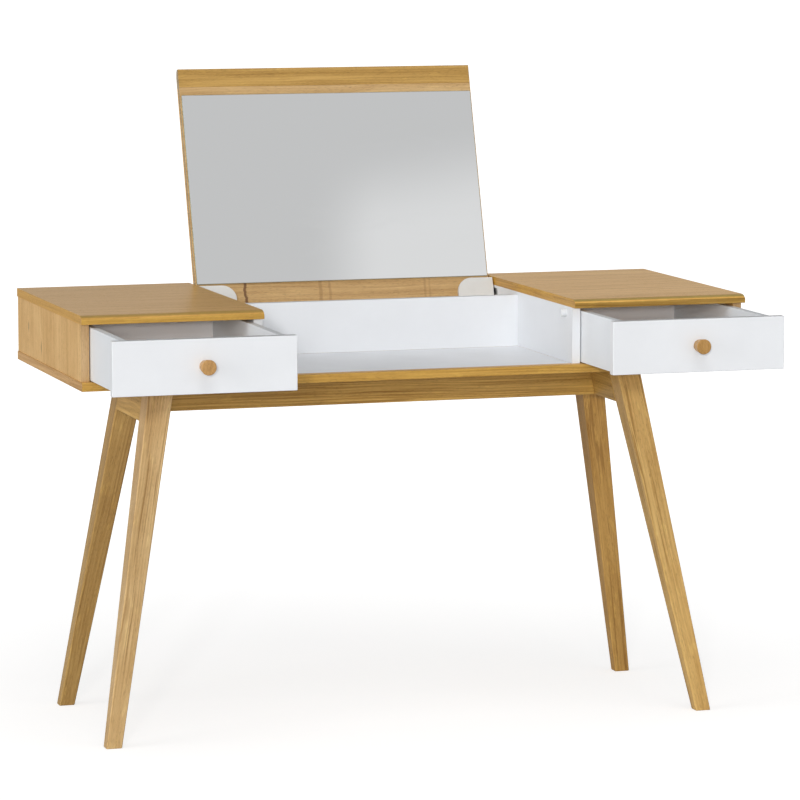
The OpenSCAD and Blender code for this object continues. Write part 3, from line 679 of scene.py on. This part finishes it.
class VANITY_OT_stage(bpy.types.Operator):
    """Sets up the camera, the pale floor, the lamps and the even light"""

    bl_idname = "vanity.stage"
    bl_label = "Stage"

    # name, degrees to the left of straight ahead and above level, distance, width and height, power setting
    LAMPS = (
        ("front_lamp", 23, 12, 20.0, (1.15, 1.15), "key_power"),
        ("low_lamp", 16, 7.2, 14.0, (3.4, 0.7), "low_power"),
        ("high_lamp", 8, 62, 8.0, (4.5, 4.5), "soft_power"),
        ("side_lamp", 80, 10, 12.0, (6.8, 6.8), "side_power"),
        ("right_lamp", -40, 15, 4.0, (2.5, 2.5), "right_power"),
    )

    def execute(self, context):
        scene, stage = context.scene, context.scene.vanity_stage
        camera = bpy.data.objects.new("camera", bpy.data.cameras.new("camera"))
        scene.collection.objects.link(camera)
        camera.location = stage.camera_place
        camera.rotation_euler = (math.pi / 2 - stage.camera_pitch, 0, -stage.camera_turn)
        camera.data.lens, camera.data.sensor_width = stage.camera_lens, 36
        camera.data.clip_end = 200
        scene.camera = camera
        scene.view_settings.view_transform = "Standard"
        self.floor(scene)
        self.world(scene, stage.level_light, stage.upper_light)
        for *lamp, power in self.LAMPS:
            self.lamp(scene, *lamp, getattr(stage, power))
        return {"FINISHED"}

    def lamp(self, scene, name, to_left, height, away, size, power):
        """A flat lamp that looks at the table's middle from an angle to its left and above level."""
        lamp = bpy.data.objects.new(name, bpy.data.lights.new(name, "AREA"))
        scene.collection.objects.link(lamp)
        side, up = math.radians(to_left), math.radians(height)
        towards = Vector((-math.sin(side) * math.cos(up), -math.cos(side) * math.cos(up), math.sin(up)))
        lamp.location = Vector((0, 0, 0.65)) + towards * away
        lamp.rotation_euler = towards.to_track_quat("Z", "Y").to_euler()
        lamp.data.shape = "RECTANGLE"
        lamp.data.size, lamp.data.size_y, lamp.data.energy = *size, power
        lamp.visible_camera = False
        lamp.visible_glossy = False

    def floor(self, scene):
        """A wide pale floor. The camera sees it white, most of all far away, with the table's shadow."""
        half = 60
        mesh = bpy.data.meshes.new("floor")
        corners = [(-half, -half, 0), (half, -half, 0), (half, half, 0), (-half, half, 0)]
        mesh.from_pydata(corners, [], [(0, 1, 2, 3)])
        floor = bpy.data.objects.new("floor", mesh)
        scene.collection.objects.link(floor)
        material = bpy.data.materials.new("pale floor")
        material.use_nodes = True
        tree = material.node_tree
        tree.nodes.clear()
        plain = node(tree, "BsdfDiffuse", {"Color": (0.6, 0.6, 0.6, 1)}).outputs[0]
        shaded = node(tree, "BsdfDiffuse", {"Color": (0.5, 0.5, 0.5, 1)}).outputs[0]
        away = vectors(tree, "LENGTH", node(tree, "TexCoord").outputs["Object"])
        glow = span(tree, away, 0.8, 3.5, 0.69, 1.0)
        white = node(tree, "Emission", {"Color": (1, 1, 1, 1), "Strength": glow}).outputs[0]
        seen = node(tree, "AddShader", {0: shaded, 1: white}).outputs[0]
        by_camera = node(tree, "LightPath").outputs["Is Camera Ray"]
        surface = node(tree, "MixShader", {0: by_camera, 1: plain, 2: seen}).outputs[0]
        node(tree, "OutputMaterial", {"Surface": surface})
        mesh.materials.append(material)

    def world(self, scene, level, upper):
        """Even light for matt surfaces, stronger from above. Shiny ones see a backdrop behind the table, a
        dark ceiling, and a grey room in front with a lighter wall low on the right. The camera sees white."""
        # the directions over which each of them fades in, or the wall's top fades out
        wall_side, wall_top = (0.2805, 0.2991), (0.459, 0.479, 1, 0)
        backdrop, ceiling = (-0.4, 0.2), (0.61, 0.68)
        world = bpy.data.worlds.new("studio")
        scene.world = world
        world.use_nodes = True
        tree = world.node_tree
        tree.nodes.clear()
        path = node(tree, "LightPath").outputs
        direction = node(tree, "TexCoord").outputs["Generated"]
        parts = node(tree, "SeparateXYZ", {0: direction}).outputs
        wall = maths(tree, "MULTIPLY", span(tree, parts[0], *wall_side), span(tree, parts[2], *wall_top))
        room = maths(tree, "MULTIPLY_ADD", wall, 0.18, 0.62)
        room = mixed(tree, span(tree, parts[1], *backdrop), room, 0.56)
        room = mixed(tree, span(tree, parts[2], *ceiling), room, 0.1)
        sharp = maths(tree, "MAXIMUM", path["Is Glossy Ray"], path["Is Transmission Ray"])
        even = maths(tree, "MULTIPLY_ADD", maths(tree, "MAXIMUM", parts[2], 0.0), upper, level)
        light = mixed(tree, path["Is Camera Ray"], mixed(tree, sharp, even, room), 1.0)
        glow = node(tree, "Background", {"Color": (1, 1, 1, 1), "Strength": light}).outputs[0]
        node(tree, "OutputWorld", {"Surface": glow})


class VANITY_OT_case(bpy.types.Operator):
    """Builds the case: bottom, side panels, dividers, white compartment and rear boards"""

    bl_idname = "vanity.case"
    bl_label = "Case"

    # place and size of each knot on the left side panel, whose outer face lies at X -0.6
    KNOTS = (((-0.6, 0.235, 0.690), (0.004, 0.006, 0.013)), ((-0.6, 0.135, 0.663), (0.004, 0.005, 0.016)))

    def execute(self, context):
        ease = sizes().board_ease
        pale_edge, warm_end = wood_tones("edge", 1.22), wood_tones("end", (1.19, 1.06, 0.84))
        bottom = oak(
            "oak bottom board", "X", wood_tones("top"), (0.31, 0.2, 0.1), contrast=1.3,
            bands=[(1, pale_edge, None), (0, warm_end, "Y")],
        )
        eased_copy("bottom_board", "bottom_panel", bottom, ease)
        white = coated_board("white coated board", colours().board_white, upper=1)
        for part in ("compartment_floor", "compartment_back"):
            board(f"{part}_board", part, "X", white)
        for side, shift, knots in zip(SIDES, ((0.13, 0.4, 0.07), (0.9, -0.3, 0.5)), (self.KNOTS, ())):
            panel = oak(
                f"oak side panel {side}", "Z", wood_tones("side"), shift, streaks=(0.34, 0.26, 0.18),
                rings=0.04, blotch=0.34, cloud=(14, 18, 18), contrast=0.95, hairs=0.14, knots=knots,
                bands=[(1, wood_tones("end"), None)],
            )
            board(f"side_board_{side}", f"side_panel_{side}", "Z", panel)
            eased_copy(f"divider_board_{side}", f"divider_{side}", white, ease)
            rear = oak(f"oak rear board {side}", "X", wood_tones("side"), (0.5, 0.6, shift[0]))
            board(f"rear_board_{side}", f"rear_panel_{side}", "X", rear)
        low_rail = oak("oak rear rail", "X", wood_tones("side"), (0.2, 0.9, 0.3))
        board("rear_rail_board", "rear_rail", "X", low_rail)
        return {"FINISHED"}


class VANITY_OT_tops(bpy.types.Operator):
    """Builds the two fixed tops with their rounded upper front edges"""

    bl_idname = "vanity.tops"
    bl_label = "Tops"

    # the pattern's place, factors on the face's, end's and nose's tones, the contrast, and the share of painted
    # shade on the nose
    VENEERS = {
        "left": ((0.2, 0.15, 0.3), 1, (1.35, 1.30, 1.31), 1.24, 0.7, 0.75),
        "right": ((-0.65, 0.52, 0.1), 1.24, (1.15, 1.05, 0.56), 0.94, 1.3, 1.0),
    }

    def execute(self, context):
        for side, (shift, face, end, nose, contrast, painted_nose_shade) in self.VENEERS.items():
            finish = oak(
                f"oak top {side}", "X", wood_tones("top", face), shift, streaks=(0.16, 0.34, 0.34),
                rings=0.04, contrast=contrast, painted_nose_shade=painted_nose_shade, gloss=0.32, shine=0.3,
                bands=[(1, wood_tones("edge", nose, 0.67), None), (0, wood_tones("edge", end), "Y")],
            )
            board(f"top_board_{side}", f"top_{side}", "X", finish, worktop_corners())
        return {"FINISHED"}


def lid_place():
    """Turns a piece of the closed lid about the hinge line to where the lid stands open."""
    hinge = next(j for j in frame["joints"] if j["name"] == "lid_hinge")
    line = Matrix.Translation(Vector(hinge["pos_m"]))
    turn = Matrix.Rotation(-math.radians(hinge["range_deg"][1] - hinge["range_deg"][0]), 4, "X")
    return line @ turn @ line.inverted()


def lid_board(name, replaced, front, rear, material, corners, ease):
    """A board of the lid, as thick as the tops, between two distances from its front edge.

    It is made closed, with its front edge in line with the tops', and then opened.
    """
    (left, *_), (right, *_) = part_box(replaced)
    low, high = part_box("top_left")
    points, normals = carried_rectangle(
        (left, right), [(low.y + front, low.z)] * 2, [(low.y + rear, high.z)] * 2, corners, ease
    )
    return new_piece(name, points, normals, "X", material, replaced, lid_place())


class VANITY_OT_lid(bpy.types.Operator):
    """Builds the lid: panel, solid lipping and mirror"""

    bl_idname = "vanity.lid"
    bl_label = "Lid"

    # the faint stains between the mirror and the hinges: place across the lid, half width and strength
    FAINT_STAINS = (
        (-0.045, 0.0038, 0.55), (-0.027, 0.0030, 0.45), (0.155, 0.0026, 0.40), (0.164, 0.0022, 0.30)
    )

    def execute(self, context):
        size = sizes()
        ease = size.board_ease
        top_low, top_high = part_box("top_left")
        ends = wood_tones("end", (0.86, 1.0, 1.25))
        middle, outward, stains = self.underside(top_low.z)
        panel = oak(
            "oak lid panel", "X", wood_tones("lid"), (0.05, 0.33, 0.8), streaks=(0.2, 0.3, 0.3), blotch=0.12,
            stains=stains, bands=[(0, ends, "Y")],
            # closed, its outer face lies between the tops and has their colour
            behind=(middle, outward, wood_tones("top", 1.12)),
        )
        depth = top_high.y - top_low.y
        lid_board("lid_board", "lid_panel", size.lipping, depth, panel, (ease,) * 4, ease)
        strip = oak("oak lipping", "X", wood_tones("strip"), (-0.4, 0.21, 0.44), bands=[(0, ends, None)])
        lid_board("lid_lipping_strip", "lid_lipping", 0, size.lipping, strip, worktop_corners(), ease)
        glass = mirror_finish("silvered glass", colours().silver)
        low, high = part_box("lid_mirror")
        points, normals = carried_rectangle(
            (top_low.z - size.mirror_glass, top_low.z),
            [(low.x, top_low.y + size.mirror_front)] * 2,
            [(high.x, top_low.y + size.mirror_rear)] * 2,
            (size.mirror_corner,) * 4,
            size.mirror_edge,
        )
        new_piece("mirror_glass", points, normals, "Z", glass, "lid_mirror", lid_place())
        return {"FINISHED"}

    def underside(self, under):
        """A point of the open lid's face that carries the mirror, the way it looks, and the stains on it."""
        tint, stain_z = colours(), 0.69
        outward = lid_place().to_3x3() @ Vector((0, 0, -1))
        middle = lid_place() @ Vector((0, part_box("lid_mirror")[0].y, under))
        face_y = middle.y - (stain_z - middle.z) * outward.z / outward.y

        def stain(x, wide, tone, strong, waver):
            return (x, face_y, stain_z), (wide, 0.2, 0.16), tone, strong, waver, outward

        olive = shades(tint.lid_dark, 0.72)
        stains = [stain(-0.187, 0.0034, tint.stain, 0.85, 0.010)]
        stains += [stain(x, wide, olive, strong, 0.004) for x, wide, strong in self.FAINT_STAINS]
        return middle, outward, stains


class VANITY_OT_hinges(bpy.types.Operator):
    """Builds the hinge covers and rests, and finishes the plates, pins and screws"""

    bl_idname = "vanity.hinges"
    bl_label = "Hinges"

    def execute(self, context):
        tint, ease = colours(), sizes().moulded_ease
        plastic = moulded_plastic("white moulded plastic", tint.plastic_white)
        rest_plastic = moulded_plastic("white rest plastic", tint.rest_white)
        steel = plated_steel("plated steel", tint.steel)
        for side in SIDES:
            eased_copy(f"cover_{side}", f"hinge_cover_{side}", plastic, ease)
            self.rest(side, rest_plastic)
            for name in (f"hinge_plate_{side}", f"hinge_pin_{side}"):
                dressed(name, steel)
        dressed("hinge_screws", steel)
        return {"FINISHED"}

    def rest(self, side, plastic):
        """A turned rest: straight side, round shoulder, then a flat face with a ring pressed into it."""
        shoulder, ring_depth, ring_width = 0.0012, 0.00045, 0.0006
        low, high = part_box(f"lid_rest_{side}")
        radius, long = (high.y - low.y) / 2, high.x - low.x
        shoulder_r, shoulder_h = rounded_corner((radius - shoulder, long - shoulder), shoulder, 0, 90)
        face_r = np.linspace(radius - shoulder - 0.0002, 0.0003, 24)
        face_h = long - ring_depth * np.exp(-(((face_r - 0.6 * radius) / ring_width) ** 2))
        points, normals = turned_profile(
            np.concatenate([[radius, radius], shoulder_r, face_r]),
            np.concatenate([[0, long - 2 * shoulder], shoulder_h, face_h]),
        )
        # the face looks along +X on the left divider and along -X on the right one
        mid = Vector((low.x if side == "left" else high.x, (low.y + high.y) / 2, (low.z + high.z) / 2))
        place = Matrix.Translation(mid)
        if side == "right":
            place = place @ Matrix.Rotation(math.pi, 4, "Z")
        new_piece(f"rest_{side}", points, normals, "X", plastic, f"lid_rest_{side}", place)


class VANITY_OT_drawers(bpy.types.Operator):
    """Builds the drawers: fronts, sides, backs and bottoms, and the glides under them"""

    bl_idname = "vanity.drawers"
    bl_label = "Drawers"

    def execute(self, context):
        tint, size = colours(), sizes()
        face = coated_board("white drawer front", tint.front_white, 0.33, 0.5)
        # backs and bottoms take a white made lighter and warmer, as painted light inside the drawers
        white = coated_board("white drawer back", tint.drawer_white_painted_light, 0.4)
        flank = coated_board("white drawer side", tint.drawer_side_white, 0.4)
        thin = coated_board("white drawer bottom", shades(tint.drawer_white_painted_light, 0.97), 0.42, 1)
        for side in SIDES:
            board(f"front_board_{side}", f"drawer_front_{side}", "X", face, ease=size.front_ease)
            for part in ("drawer_inner_side", "drawer_outer_side"):
                eased_copy(f"{part}_board_{side}", f"{part}_{side}", flank, size.board_ease)
            board(f"drawer_back_board_{side}", f"drawer_back_{side}", "X", white)
            board(f"drawer_bottom_board_{side}", f"drawer_bottom_{side}", "X", thin, ease=size.thin_ease)
            dressed(f"knob_screw_{side}", plated_steel(f"plated knob screw {side}", tint.steel))
        dressed("drawer_glides", moulded_plastic("white glide plastic", tint.plastic_white))
        return {"FINISHED"}


class VANITY_OT_knobs(bpy.types.Operator):
    """Builds the turned oak knobs"""

    bl_idname = "vanity.knobs"
    bl_label = "Knobs"

    # how far the grain of each knob is turned, where its pattern lies, and factors on its tones
    WOODS = {"left": (0.35, 0.3, (1.04, 1.08, 1.29)), "right": (-0.2, 0.7, (0.88, 0.88, 0.85))}

    def execute(self, context):
        for side, (turn, shift, factors) in self.WOODS.items():
            low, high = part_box(f"knob_{side}")
            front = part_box(f"drawer_front_{side}")[0].y
            points, normals = self.shape((high.x - low.x) / 2, front - low.y)
            finish = oak(f"oak knob {side}", (turn, math.pi / 2, 0), wood_tones("knob", factors),
                         (shift, 0.1, 0.2), pith=0.03)
            mid = Vector(((low.x + high.x) / 2, front, (low.z + high.z) / 2))
            place = Matrix.Translation(mid) @ Matrix.Rotation(-math.pi / 2, 4, "Z")
            new_piece(f"knob_turned_{side}", points, normals, "X", finish, f"knob_{side}", place)
        return {"FINISHED"}

    def shape(self, radius, long):
        """A turned knob: a side that widens from the base, a round rim, then a faintly crowned face."""
        size, crown = sizes(), 0.00012
        rim, base = size.knob_rim, size.knob_base / 2
        rise = np.linspace(0, 1, 12)
        rim_r, rim_h = rounded_corner((radius - rim, long - rim), rim, 0, 90, 10)
        face_r = np.linspace(radius - rim - 0.0004, 0.0003, 20)
        face_h = long - crown * (face_r / radius) ** 2
        return turned_profile(
            np.concatenate([[base - 0.0004], base + (radius - base) * rise, rim_r[1:], face_r]),
            np.concatenate([[0], (long - rim) * rise + 1e-5, rim_h[1:], face_h]),
            96,
        )


def flush(low, high, width, at_high):
    """The two ends of a width that lies flush with the high or the low end of a range."""
    return (high - width, high) if at_high else (low, low + width)


class VANITY_OT_leg_frame(bpy.types.Operator):
    """Builds the tapered legs and the rails between them, and finishes the bolts"""

    bl_idname = "vanity.leg_frame"
    bl_label = "Leg frame"

    # factors on the red, green and blue of each leg's tones: partly the leg's own tone, partly painted light,
    # paler on the front legs, and painted shade, darker on the rear ones
    LEG_WOODS = {
        "leg_front_left": (1.13, 1.21, 1.42), "leg_rear_left": (0.80, 0.77, 0.62),
        "leg_front_right": (1.22, 1.24, 1.08), "leg_rear_right": (0.90, 0.80, 0.54),
    }

    def execute(self, context):
        size = sizes()
        made = 0
        for side in SIDES:
            for end in ENDS:
                made += 1
                self.leg(side, end, made)
            rail = oak(f"oak side rail {side}", "Y", wood_tones("rail"), (0.1 * made, 0.3, 0.2), pith=0.12)
            eased_copy(f"side_rail_piece_{side}", f"side_rail_{side}", rail, size.side_rail_ease)
        rail = oak("oak long rail", "X", wood_tones("rail"), (0.6, 0.15, 0.35), pith=0.1,
                   streaks=(0.2, 0.34, 0.4), contrast=1.3, hairs=0.6)
        eased_copy("long_rail_piece", "long_rail", rail, size.long_rail_ease)
        dressed("frame_bolts", plated_steel("plated bolts", colours().steel))
        return {"FINISHED"}

    def leg(self, side, end, number):
        """A leg that goes straight from its foot's rectangle to its top's, with its long edges rounded."""
        size, name = sizes(), f"leg_{end}_{side}"
        low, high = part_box(name)
        # the foot stands at the outer corner of the leg's box, and the top at the inner one
        right, rear = side == "right", end == "rear"
        foot_x = flush(low.x, high.x, size.foot_width, right)
        foot_y = flush(low.y, high.y, size.foot_depth, rear)
        top_x = flush(low.x, high.x, size.leg_width, not right)
        top_y = flush(low.y, high.y, size.leg_depth, not rear)
        points, normals = carried_rectangle(
            (low.z, high.z),
            [(foot_x[0], foot_y[0]), (top_x[0], top_y[0])],
            [(foot_x[1], foot_y[1]), (top_x[1], top_y[1])],
            (size.leg_round,) * 4,
            size.foot_ease,
        )
        run = Vector((sum(top_x) - sum(foot_x), sum(top_y) - sum(foot_y), 2 * (high.z - low.z)))
        turn = run.rotation_difference(Vector((1, 0, 0))).to_euler()
        finish = oak(
            f"oak leg {end} {side}", tuple(turn), wood_tones("leg", self.LEG_WOODS[name]),
            (0.37 * number, 0.11 * number, 0.053 * number), pith=0.07 + 0.02 * number, blotch=0.22,
            streaks=(0.26, 0.2, 0.3), contrast=0.9, ray=0.3, hairs=0.5 if rear else 0.75,
        )
        new_piece(f"{name}_tapered", points, normals, "Z", finish, name)


GROUPS = {"vanity_sizes": VanitySizes, "vanity_colours": VanityColours, "vanity_stage": VanityStage}
STEPS = (
    VANITY_OT_stage, VANITY_OT_case, VANITY_OT_tops, VANITY_OT_lid, VANITY_OT_hinges, VANITY_OT_drawers,
    VANITY_OT_knobs, VANITY_OT_leg_frame,
)


class VANITY_PT_panel(bpy.types.Panel):
    """Lists the settings and the steps"""

    bl_idname = "VANITY_PT_panel"
    bl_label = "Vanity Table"
    bl_space_type = "VIEW_3D"
    bl_region_type = "UI"
    bl_category = "Vanity Table"

    def draw(self, context):
        for step in STEPS:
            self.layout.operator(step.bl_idname)
        for name in GROUPS:
            group = getattr(context.scene, name)
            box = self.layout.box()
            box.label(text=name.removeprefix("vanity_").capitalize())
            for key in group.__annotations__:
                box.prop(group, key)


CLASSES = (*GROUPS.values(), *STEPS, VANITY_PT_panel)


def register():
    for item in CLASSES:
        bpy.utils.register_class(item)
    for name, group in GROUPS.items():
        setattr(bpy.types.Scene, name, PointerProperty(type=group))


def unregister():
    for name in GROUPS:
        delattr(bpy.types.Scene, name)
    for item in reversed(CLASSES):
        bpy.utils.unregister_class(item)


def main():
    register()
    bpy.ops.vanity.stage()
    bpy.ops.vanity.case()
    bpy.ops.vanity.tops()
    bpy.ops.vanity.lid()
    bpy.ops.vanity.hinges()
    bpy.ops.vanity.drawers()
    bpy.ops.vanity.knobs()
    bpy.ops.vanity.leg_frame()


if __name__ == "__main__":
    main()
